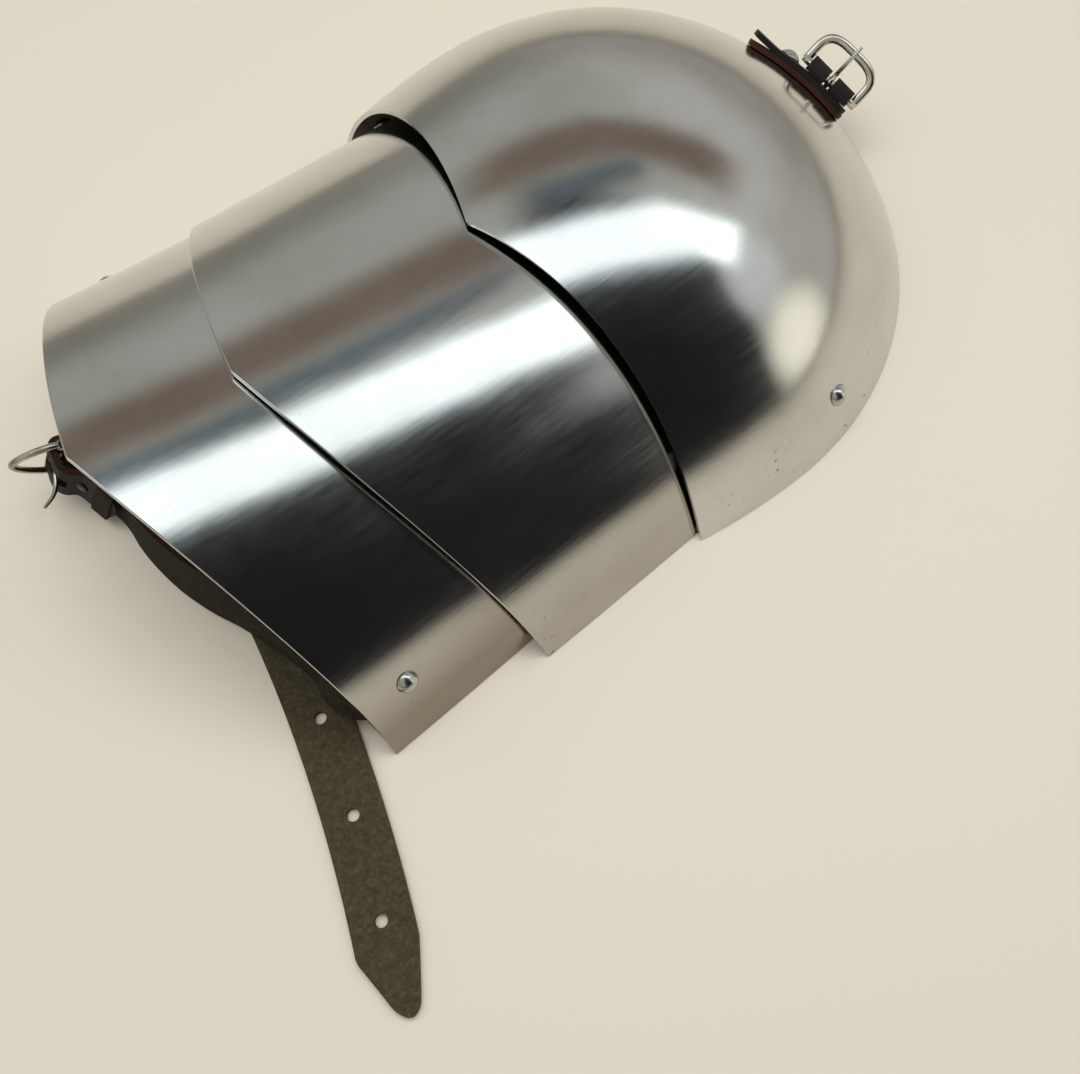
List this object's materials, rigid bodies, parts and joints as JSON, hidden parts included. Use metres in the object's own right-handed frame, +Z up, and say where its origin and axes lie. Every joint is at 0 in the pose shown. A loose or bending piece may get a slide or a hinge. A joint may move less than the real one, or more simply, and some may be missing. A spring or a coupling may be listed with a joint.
{
  "type": "spaulder",
  "caption": "Shoulder defence of a domed plate and two curved lames on leathers, with an arm strap, its buckle and a buckled neck tab.",
  "frame": {"origin": "on the plane of the rims, on the centre line, level with the lower corners of the dome", "axes": "+X towards the neck end, +Y towards the back rim, +Z up, out of the crown of the plates"},
  "size_m": [0.2978, 0.2508, 0.0753],
  "materials": {
    "polished_plate": "polished, with fine hand-finishing marks",
    "rivet_steel": "bright, hammered heads",
    "burr_steel": "dull",
    "articulation_leather": "oiled",
    "strap_leather": "dark grain side, suede flesh side",
    "tab_leather": "dark grain side, red-brown cut edges",
    "arm_buckle_metal": "bright",
    "neck_buckle_metal": "bright, slightly warm"
  },
  "bodies": {
    "dome": {"dome_plate": "polished_plate", "front_upper_leather": "articulation_leather", "back_upper_leather": "articulation_leather", "front_dome_rivet": "rivet_steel", "back_dome_rivet": "rivet_steel", "front_dome_burr": "burr_steel", "back_dome_burr": "burr_steel", "neck_tab_rivet": "rivet_steel", "neck_tab_burr": "burr_steel"},
    "middle": {"middle_lame": "polished_plate", "front_lower_leather": "articulation_leather", "back_lower_leather": "articulation_leather", "front_middle_rivet": "rivet_steel", "back_middle_rivet": "rivet_steel", "front_middle_burr": "burr_steel", "back_middle_burr": "burr_steel"},
    "lower": {"lower_lame": "polished_plate", "front_lower_rivet": "rivet_steel", "back_lower_rivet": "rivet_steel", "front_lower_burr": "burr_steel", "back_lower_burr": "burr_steel", "front_strap_rivet": "rivet_steel", "back_strap_rivet": "rivet_steel", "front_strap_burr": "burr_steel", "back_strap_burr": "burr_steel", "billet_strap": "strap_leather", "buckle_strap": "strap_leather", "strap_keeper": "strap_leather", "fold_rivet": "rivet_steel"},
    "arm_buckle": {"arm_buckle_frame": "arm_buckle_metal"},
    "arm_tongue": {"arm_buckle_tongue": "arm_buckle_metal"},
    "neck_tab": {"neck_tab": "tab_leather"},
    "neck_buckle": {"neck_buckle_frame": "neck_buckle_metal"},
    "neck_tongue": {"neck_buckle_tongue": "neck_buckle_metal"}
  },
  "joints": [
    {"name": "middle_lame_hinge", "type": "hinge", "parent": "dome", "child": "middle", "pos_m": [0.00759, -0.001, 0.01788], "axis": [0, 1, 0], "range_deg": [-8, 2.5]},
    {"name": "lower_lame_hinge", "type": "hinge", "parent": "middle", "child": "lower", "pos_m": [-0.04842, 0.0016, 0.02115], "axis": [0, 1, 0], "range_deg": [-8, 0.8]},
    {"name": "arm_buckle_hinge", "type": "hinge", "parent": "lower", "child": "arm_buckle", "pos_m": [-0.1394, 0.0415, 0.02], "axis": [0.3347, -0.3143, 0.8884], "range_deg": [-57, 15]},
    {"name": "arm_tongue_hinge", "type": "hinge", "parent": "arm_buckle", "child": "arm_tongue", "pos_m": [-0.1394, 0.0415, 0.02], "axis": [0.3347, -0.3143, 0.8884], "range_deg": [-46, 10]},
    {"name": "neck_tab_swivel", "type": "hinge", "parent": "dome", "child": "neck_tab", "pos_m": [0.11933, 0.00583, 0.02876], "axis": [0.7861, 0.055, 0.6157], "range_deg": [-15, 15]},
    {"name": "neck_buckle_hinge", "type": "hinge", "parent": "neck_tab", "child": "neck_buckle", "pos_m": [0.12785, -0.00738, 0.02713], "axis": [-0.1999, 0.8977, 0.3926], "range_deg": [-50, 70]},
    {"name": "neck_tongue_hinge", "type": "hinge", "parent": "neck_buckle", "child": "neck_tongue", "pos_m": [0.12785, -0.00738, 0.02713], "axis": [-0.1999, 0.8977, 0.3926], "range_deg": [-25, 0]}
  ]
}
